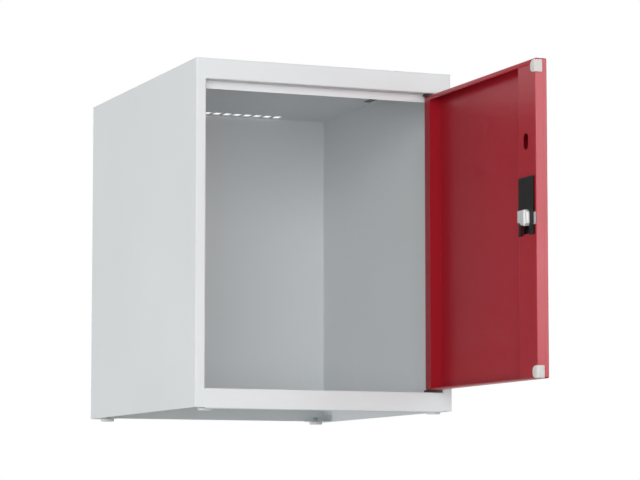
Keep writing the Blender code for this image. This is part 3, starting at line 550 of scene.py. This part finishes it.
def latchBolt():
    lockZ, footZ, backX = boltSet["lockZ"], boltSet["blockZ"][0], boltSet["blockX"][1]
    block = fingerBlock()
    half, root = boltSet["neckMm"] * mm / 2, boltSet["neckRootMm"] * mm
    neck = solidBox((backX - root, boltSet["plateX"][0] + root), boltSet["neckY"],
                    (lockZ - half, lockZ + half))
    half = boltSet["tongueMm"] * mm / 2
    (nearX, farX), (tipY, tailY) = boltSet["tongueX"], boltSet["tongueY"]
    outline = [(nearX, tipY + boltSet["tipMm"] * mm), (farX, tipY), (farX, tailY), (nearX, tailY)]
    tongue = solidPrism([(x, y, lockZ - half) for x, y in outline], (0, 0, 2 * half))
    plate = solidBox(boltSet["plateX"], boltSet["plateY"], boltSet["plateZ"])
    radius, drop, pinRoot = [boltSet[size] * mm for size in ("pinMm", "pinDropMm", "pinRootMm")]
    profile = [(0, -drop), (radius * boltSet["pinTip"], -drop), (radius, -drop * boltSet["pinTaper"]),
               (radius, pinRoot), (0, pinRoot)]
    pin = solidTurned(profile, (boltSet["pinX"], boltSet["pinY"], footZ), (0, 0, 1),
                      steps=boltSet["pinSteps"])
    return shaped(block, adds=[neck, tongue, plate, pin])


bolt = finished(latchBolt(), "latchBolt", brightZinc, "bolt")


def onTongue(face):
    slack = boltSet["slackMm"] * mm
    corners = [bolt.data.vertices[index].co for index in face.vertices]
    inStrip = all(boltSet["tongueX"][0] - slack < c.x < boltSet["tongueX"][1] + slack for c in corners)
    return inStrip and all(c.y < boltSet["neckY"][0] + slack for c in corners)


# The tongue is a strip of plated steel cast into the block, duller than the zinc.
secondFinish(bolt, pinSteel, onTongue)
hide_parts("latch_bolt")

# Bolt guide: the flange down the side of the lock case, with the way through which the tongue slides.
# Its black is partly the case's own side and partly painted shade for the shadow the case casts on the
# stile.
guideSet = {
    "x": (0.1609, 0.1635), "y": (-0.4198, -0.4171), "z": (0.2300, 0.3093),
    "wayX": 0.1617, "wayMm": 17.4, "softMm": 0.3,
}


def boltGuideShadeStrip():
    lockZ, half = boltSet["lockZ"], guideSet["wayMm"] * mm / 2
    flange = solidBox(guideSet["x"], guideSet["y"], guideSet["z"])
    way = solidBox((guideSet["wayX"], guideSet["x"][1] + mm),
                   (guideSet["y"][0] - mm, guideSet["y"][1] + mm), (lockZ - half, lockZ + half))
    return shaped(flange, cuts=[way])


# Black strip beside the case: partly the case's side, partly painted shade.
finished(boltGuideShadeStrip(), "boltGuideShadeStrip", blackCase, "door", softMm=guideSet["softMm"])

# Lock well: the black inside of the lock case, seen through the notch under the finger block.
wellSet = {
    "frontX": 0.1640, "backX": 0.1690, "y": (-0.4080, -0.3848), "z": (0.2312, 0.2428), "wallMm": 0.5,
}


def lockWell():
    wall, frontX, backX = wellSet["wallMm"] * mm, wellSet["frontX"], wellSet["backX"]
    (lowY, highY), (lowZ, highZ) = wellSet["y"], wellSet["z"]
    tray = solidBox((frontX, backX + wall), wellSet["y"], wellSet["z"])
    hollow = solidBox((frontX - mm, backX), (lowY + wall, highY - wall), (lowZ + wall, highZ + mm))
    return shaped(tray, cuts=[hollow])


finished(lockWell(), "lockWell", blackCase, "door")
print("latch bolt, guide and lock well made")


# Free edge of the door: the stile's wall and the skin's flange, ground flush and painted, with a fine
# joint line.
freeEdgeSet = {
    "proudY": -0.4250, "rootY": -0.4232, "jointY": -0.42485, "stileX": (0.1637, 0.1752),
    "flangeX": (0.17545, 0.1800), "stileZ": (0.0560, 0.4490), "flangeZ": (0.0365, 0.4685),
}


def freeEdgeFace():
    rootY, stileX, flangeX = freeEdgeSet["rootY"], freeEdgeSet["stileX"], freeEdgeSet["flangeX"]
    faceY = (freeEdgeSet["proudY"], rootY)
    stile = solidBox(stileX, faceY, freeEdgeSet["stileZ"])
    flange = solidBox(flangeX, faceY, freeEdgeSet["flangeZ"])
    joint = solidBox((stileX[1] - mm, flangeX[0] + mm), (freeEdgeSet["jointY"], rootY),
                     freeEdgeSet["stileZ"])
    return shaped(stile, adds=[flange, joint])


# The free edge's face carries the lighter red, a painted highlight.
finished(freeEdgeFace(), "freeEdgeFace", redEdgeHighlightCoat, "door")

# Top lip: the fold along the door's top runs on over the stile to the cap, in front of the stile by
# less than the sheet's thickness.
lipSet = {"x": (0.1629, 0.1637), "y": (-0.4108, -0.0625), "z": (0.4633, 0.4686), "softMm": 0.15}
finished(solidBox(lipSet["x"], lipSet["y"], lipSet["z"]), "topLip", redCoat, "door",
         softMm=lipSet["softMm"])

# Corner caps: plugs pressed into the two ends of the stile, well rounded, each in a painted seat.
capSet = {
    "x": (0.1627, 0.1741), "y": (-0.42515, -0.4110), "topZ": 0.46825, "heightMm": 17.2,
    "pairZ": 0.25158,
    "innerRoundMm": (10.6, 5.8), "innerStep": 0.25, "edgeRoundMm": 1.3, "edgeSteps": 4,
    "noseMm": 3.4, "noseSteps": 8, "rimMm": 0.35, "sharpDeg": 50, "uprightShare": 0.99,
}
# The seat's corner is cut away under the cap's rounded nose.
seatSet = {
    "x": (0.1636, 0.1756), "y": (-0.4250, -0.4096), "z": (0.44885, 0.46855), "pairZ": 0.2525,
    "reliefX": 0.1662, "reliefY": -0.4222, "reliefZ": (0.4514, 0.4679),
    "facing": 0.9,  # how squarely a face looks inwards to get the stile's coat
}


def roundEdges(piece, picked, radiusMm, steps):
    shape = bmesh.new()
    shape.from_mesh(piece.data)
    edges = [edge for edge in shape.edges if picked(edge)]
    bmesh.ops.bevel(shape, geom=edges, offset=radiusMm * mm, segments=steps, affect="EDGES",
                    profile=0.5)  # a round profile
    shape.to_mesh(piece.data)
    shape.free()


def cornerCap():
    (nearX, farX), (tipY, innerY) = capSet["x"], capSet["y"]
    topZ, footZ = capSet["topZ"], capSet["topZ"] - capSet["heightMm"] * mm
    roundY, roundZ = [size * mm for size in capSet["innerRoundMm"]]
    arc = [(innerY - roundY * (1 - math.cos(a)), roundZ * (1 - math.sin(a)))
           for a in quarterTurn(capSet["innerStep"])]
    outline = [(tipY, footZ), *[(y, footZ + rise) for y, rise in arc[::-1]],
               *[(y, topZ - rise) for y, rise in arc], (tipY, topZ)]
    cap = solidPrism([(nearX, y, z) for y, z in outline], (farX - nearX, 0, 0))
    middleX, middleY = (nearX + farX) / 2, (tipY + innerY) / 2

    def onFarSide(edge):
        return all(vert.co.x > middleX for vert in edge.verts)

    def onTip(edge):
        run = edge.verts[1].co - edge.verts[0].co
        upright = abs(run.z) > capSet["uprightShare"] * run.length
        return upright and all(vert.co.y < middleY for vert in edge.verts)

    roundEdges(cap, lambda edge: onFarSide(edge) and not onTip(edge),
               capSet["edgeRoundMm"], capSet["edgeSteps"])
    roundEdges(cap, lambda edge: onTip(edge) and not onFarSide(edge),
               capSet["noseMm"], capSet["noseSteps"])
    return cap


def mirroredPair(piece, middleZ):
    shape = bmesh.new()
    shape.from_mesh(piece.data)
    half = shape.verts[:] + shape.edges[:] + shape.faces[:]
    twin = bmesh.ops.duplicate(shape, geom=half)["geom"]
    for vert in [g for g in twin if isinstance(g, bmesh.types.BMVert)]:
        vert.co.z = 2 * middleZ - vert.co.z
    shape.normal_update()
    bmesh.ops.recalc_face_normals(shape, faces=shape.faces)
    shape.to_mesh(piece.data)
    shape.free()
    return piece


def cornerSeats():
    nearX, tipY = seatSet["x"][0], seatSet["y"][0]
    seats = mirroredPair(solidBox(seatSet["x"], seatSet["y"], seatSet["z"]), seatSet["pairZ"])
    relief = solidBox((nearX - mm, seatSet["reliefX"]), (tipY - mm, seatSet["reliefY"]),
                      seatSet["reliefZ"])
    return shaped(seats, cuts=[mirroredPair(relief, capSet["pairZ"])])


cornerCaps = mirroredPair(cornerCap(), capSet["pairZ"])
finished(cornerCaps, "cornerCaps", paleCap, "door", softMm=capSet["rimMm"],
         sharpDeg=capSet["sharpDeg"])
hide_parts("door_cap_upper", "door_cap_lower")
# The seats carry the free edge's lighter red, a painted highlight.
capSeats = finished(cornerSeats(), "capSeats", redEdgeHighlightCoat, "door")
# The seats' inner faces lie in the stile's face, so they have the stile's coat.
secondFinish(capSeats, redCoat, lambda face: face.normal.x < -seatSet["facing"])
print("free edge and caps made")


# Twist knob outside the door: a low moulded disc with a grip bar, and ribs round its rim by Geometry
# Nodes.
knobSet = {
    "axis": (-0.3964, 0.2513), "baseX": 0.1841, "radiusMm": 12.2, "diskMm": 4.0,
    "edgeMm": 1.0, "edgeStep": 0.4,
    "gripMm": (8.0, 21.0, 4.4), "gripSoftMm": 1.3, "gripSoftSteps": 3, "gripRootMm": 2.5,
    "ribs": 36, "ribMm": 0.5, "ribInsetMm": 0.2, "ribSides": 8,
}


def ribTree():
    tree, given = newTree("knobRibs", {"Knob": "Geometry", "Count": "Int", "Rim": "Float",
                                       "Rib": "Float", "Height": "Float", "Centre": "Vector",
                                       "Turn": "Vector", "Plastic": "Material"}, "Ribbed")
    ring = addNode(tree, "GeometryNodeMeshCircle",
                   links={"Vertices": given["Count"], "Radius": given["Rim"]})
    bar = addNode(tree, "GeometryNodeMeshCylinder", {"Vertices": knobSet["ribSides"]},
                  {"Radius": given["Rib"], "Depth": given["Height"]})
    bars = addNode(tree, "GeometryNodeInstanceOnPoints",
                   links={"Points": ring.outputs[0], "Instance": bar.outputs[0]})
    real = addNode(tree, "GeometryNodeRealizeInstances", links={"Geometry": bars.outputs[0]})
    stood = addNode(tree, "GeometryNodeTransform",
                    links={"Geometry": real.outputs[0], "Translation": given["Centre"],
                           "Rotation": given["Turn"]})
    both = addNode(tree, "GeometryNodeJoinGeometry", links={0: given["Knob"]})
    tree.links.new(stood.outputs[0], both.inputs[0])
    dressed = addNode(tree, "GeometryNodeSetMaterial",
                      links={"Geometry": both.outputs[0], "Material": given["Plastic"]})
    addNode(tree, "NodeGroupOutput", links={0: dressed.outputs[0]})
    return tree


def twistKnob():
    x, (y, z) = knobSet["baseX"], knobSet["axis"]
    radius, disk, edge = [knobSet[size] * mm for size in ("radiusMm", "diskMm", "edgeMm")]
    rim = [(radius - edge * (1 - math.cos(a)), disk - edge * (1 - math.sin(a)))
           for a in quarterTurn(knobSet["edgeStep"])]
    knob = solidTurned([(0, 0), (radius, 0), *rim, (0, disk)], (x, y, z), (1, 0, 0))
    wide, tall, high = [size * mm for size in knobSet["gripMm"]]
    grip = solidBox((x + disk - knobSet["gripRootMm"] * mm, x + disk + high),
                    (y - wide / 2, y + wide / 2), (z - tall / 2, z + tall / 2))
    softened(grip, knobSet["gripSoftMm"], knobSet["gripSoftSteps"])
    shaped(knob, adds=[grip])
    giveTree(knob, ribTree(), {
        "Count": knobSet["ribs"], "Rim": radius - knobSet["ribInsetMm"] * mm,
        "Rib": knobSet["ribMm"] * mm, "Height": disk - 2 * edge,
        "Centre": (x + disk / 2 - edge / 3, y, z), "Turn": (0, math.pi / 2, 0), "Plastic": blackNylon})
    return knob


finished(twistKnob(), "twistKnob", blackNylon, "knob")
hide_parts("lock_knob")

# Rosette: a round plate with a rolled rim and a shallow dish for the knob, on a barrel that goes
# through the door.
rosetteSet = {
    "seatX": 0.1816, "radiusMm": 20, "thickMm": 2.2, "boreMm": 4.3, "barrelMm": 9.0, "barrelX": 0.1740,
    "rollShare": 0.6,  # of the thickness
    "lipShare": 0.68, "dishShare": 0.66,  # of the radius
    "rollStep": 0.5, "dishMm": 0.3,
}


def knobRosette():
    seat, (y, z) = rosetteSet["seatX"], knobSet["axis"]
    radius, thick, bore, barrel, dish = [
        rosetteSet[size] * mm for size in ("radiusMm", "thickMm", "boreMm", "barrelMm", "dishMm")]
    back, roll = rosetteSet["barrelX"] - seat, thick * rosetteSet["rollShare"]
    rim = [(radius - roll * (1 - math.cos(a)), thick - roll * (1 - math.sin(a)))
           for a in quarterTurn(rosetteSet["rollStep"])]
    profile = [(bore, back), (barrel, back), (barrel, 0), (radius, 0), *rim,
               (radius * rosetteSet["lipShare"], thick),
               (radius * rosetteSet["dishShare"], thick - dish), (bore, thick - dish), (bore, back)]
    return solidTurned(profile, (seat, y, z), (1, 0, 0))


finished(knobRosette(), "knobRosette", blackNylon, "door")
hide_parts("lock_rosette")
print("knob and rosette made")


# Camera: fitted to the cabinet's corners; it looks up at the cabinet from below its feet.
cameraSet = {
    "place": (-1.4254, -3.5643, -0.1517), "yaw": -22.085, "pitch": 5.644,
    "lens": 147.12, "shift": (0, 0.03), "sensor": 36, "nearest": 0.05,
}
cameraData = bpy.data.cameras.new("photoCamera")
cameraData.sensor_width = cameraSet["sensor"]
cameraData.lens = cameraSet["lens"]
cameraData.shift_x, cameraData.shift_y = cameraSet["shift"]
cameraData.clip_start = cameraSet["nearest"]
photoCamera = bpy.data.objects.new("photoCamera", cameraData)
photoCamera.location = cameraSet["place"]
photoCamera.rotation_euler = (math.radians(90 + cameraSet["pitch"]), 0, math.radians(cameraSet["yaw"]))
bpy.context.scene.collection.objects.link(photoCamera)
bpy.context.scene.camera = photoCamera
bpy.context.scene.view_settings.view_transform = "Standard"


# Studio: a white surround, a pale floor under the glides, and soft lamps. Only the edge lamp shows in
# gloss.
studioSet = {
    "surround": "#ffffff", "ambient": 0.31, "floor": "#e9eaea", "floorSize": 30.0, "floorGlow": 0.25,
    "fadeFrom": 0.9, "fadeTo": 2.6,
}
lampSet = {
    "keyLamp": {"place": (-1.9, -3.35, 0.55), "size": (2.6, 2.2), "watts": 73, "inGloss": False},
    "frontLamp": {"place": (-0.1, -3.9, 0.45), "size": (2.6, 2.2), "watts": 22, "inGloss": False},
    "leftLamp": {"place": (-3.8, 0.9, -1.4), "size": (2.2, 2.2), "watts": 48, "inGloss": False},
    "edgeLamp": {"place": (1.75, -3.45, 0.65), "size": (0.7, 1.5), "watts": 14, "inGloss": True},
    "rightLamp": {"place": (3.2, 1.2, 1.5), "size": (2.2, 2.2), "watts": 46, "inGloss": False},
    "backLamp": {"place": (0.4, 3.9, 1.4), "size": (2.6, 2.2), "watts": 52, "inGloss": False},
    "topLamp": {"place": (0.3, 0.5, 3.4), "size": (2.4, 2.4), "watts": 30, "inGloss": False},
}


# 1 for a ray that shows the background: straight to the camera, by gloss or through glass.
def showsBackground(tree):
    path = addNode(tree, "ShaderNodeLightPath").outputs
    shown = addNode(tree, "ShaderNodeMath", operation="MAXIMUM",
                    links={0: path["Is Camera Ray"], 1: path["Is Glossy Ray"]})
    seen = addNode(tree, "ShaderNodeMath", operation="MAXIMUM",
                   links={0: shown.outputs[0], 1: path["Is Transmission Ray"]})
    return seen.outputs[0]


def whiteSurround():
    world = bpy.data.worlds.new("studioSurround")
    world.use_nodes = True
    tree = world.node_tree
    tree.nodes.clear()
    level = addNode(tree, "ShaderNodeMapRange", {"To Min": studioSet["ambient"], "To Max": 1.0},
                    {"Value": showsBackground(tree)})
    glow = addNode(tree, "ShaderNodeBackground", {"Color": linearColour(studioSet["surround"])},
                   {"Strength": level.outputs["Result"]})
    addNode(tree, "ShaderNodeOutputWorld", links={"Surface": glow.outputs["Background"]})
    bpy.context.scene.world = world


# The floor is one-sided: pale from above, with the cabinet's shadow on it, and open from below, where
# the photograph's camera stands and the cabinet's underside gets its light. It fades into the surround.
def floorLook():
    material, tree = newMaterial("paleFloor")
    side = addNode(tree, "ShaderNodeNewGeometry")
    fromAbove = addNode(tree, "ShaderNodeMath", {0: 1.0}, {1: side.outputs["Backfacing"]},
                        operation="SUBTRACT")
    solid = addNode(tree, "ShaderNodeMath", operation="MULTIPLY",
                    links={0: showsBackground(tree), 1: fromAbove.outputs[0]})
    place = addNode(tree, "ShaderNodeTexCoord").outputs["Object"]
    reach = addNode(tree, "ShaderNodeVectorMath", operation="LENGTH", links={0: place})
    fade = addNode(tree, "ShaderNodeMapRange",
                   {"From Min": studioSet["fadeFrom"], "From Max": studioSet["fadeTo"]},
                   {"Value": reach.outputs["Value"]}, interpolation_type="SMOOTHSTEP")
    matt = addNode(tree, "ShaderNodeBsdfDiffuse", {"Color": linearColour(studioSet["floor"])})
    white = addNode(tree, "ShaderNodeEmission",
                    {"Color": linearColour(studioSet["surround"]), "Strength": 1.0})
    pale = addNode(tree, "ShaderNodeMixShader", {0: studioSet["floorGlow"]},
                   {1: matt.outputs[0], 2: white.outputs[0]})
    sweep = addNode(tree, "ShaderNodeMixShader",
                    links={0: fade.outputs["Result"], 1: pale.outputs[0], 2: white.outputs[0]})
    clear = addNode(tree, "ShaderNodeBsdfTransparent")
    mixed = addNode(tree, "ShaderNodeMixShader",
                    links={0: solid.outputs[0], 1: clear.outputs[0], 2: sweep.outputs[0]})
    addNode(tree, "ShaderNodeOutputMaterial", links={"Surface": mixed.outputs[0]})
    return material


def layFloor():
    half = studioSet["floorSize"] / 2
    corners = [(-half, -half, 0), (half, -half, 0), (half, half, 0), (-half, half, 0)]
    mesh = bpy.data.meshes.new("studioFloor")
    mesh.from_pydata(corners, [], [(0, 1, 2, 3)])
    mesh.materials.append(floorLook())
    floor = bpy.data.objects.new("studioFloor", mesh)
    bpy.context.scene.collection.objects.link(floor)


def hangLamps():
    middle = (cadBox[0] + cadBox[1]) / 2
    for name, lamp in lampSet.items():
        light = bpy.data.lights.new(name, "AREA")
        light.shape = "RECTANGLE"
        light.size, light.size_y = lamp["size"]
        light.energy = lamp["watts"]
        stand = bpy.data.objects.new(name, light)
        stand.location = lamp["place"]
        stand.rotation_euler = (middle - Vector(lamp["place"])).to_track_quat("-Z", "Y").to_euler()
        stand.visible_camera = False
        stand.visible_glossy = lamp["inGloss"]
        bpy.context.scene.collection.objects.link(stand)


whiteSurround()
layFloor()
hangLamps()
print("studio ready:", len(lampSet), "lamps")
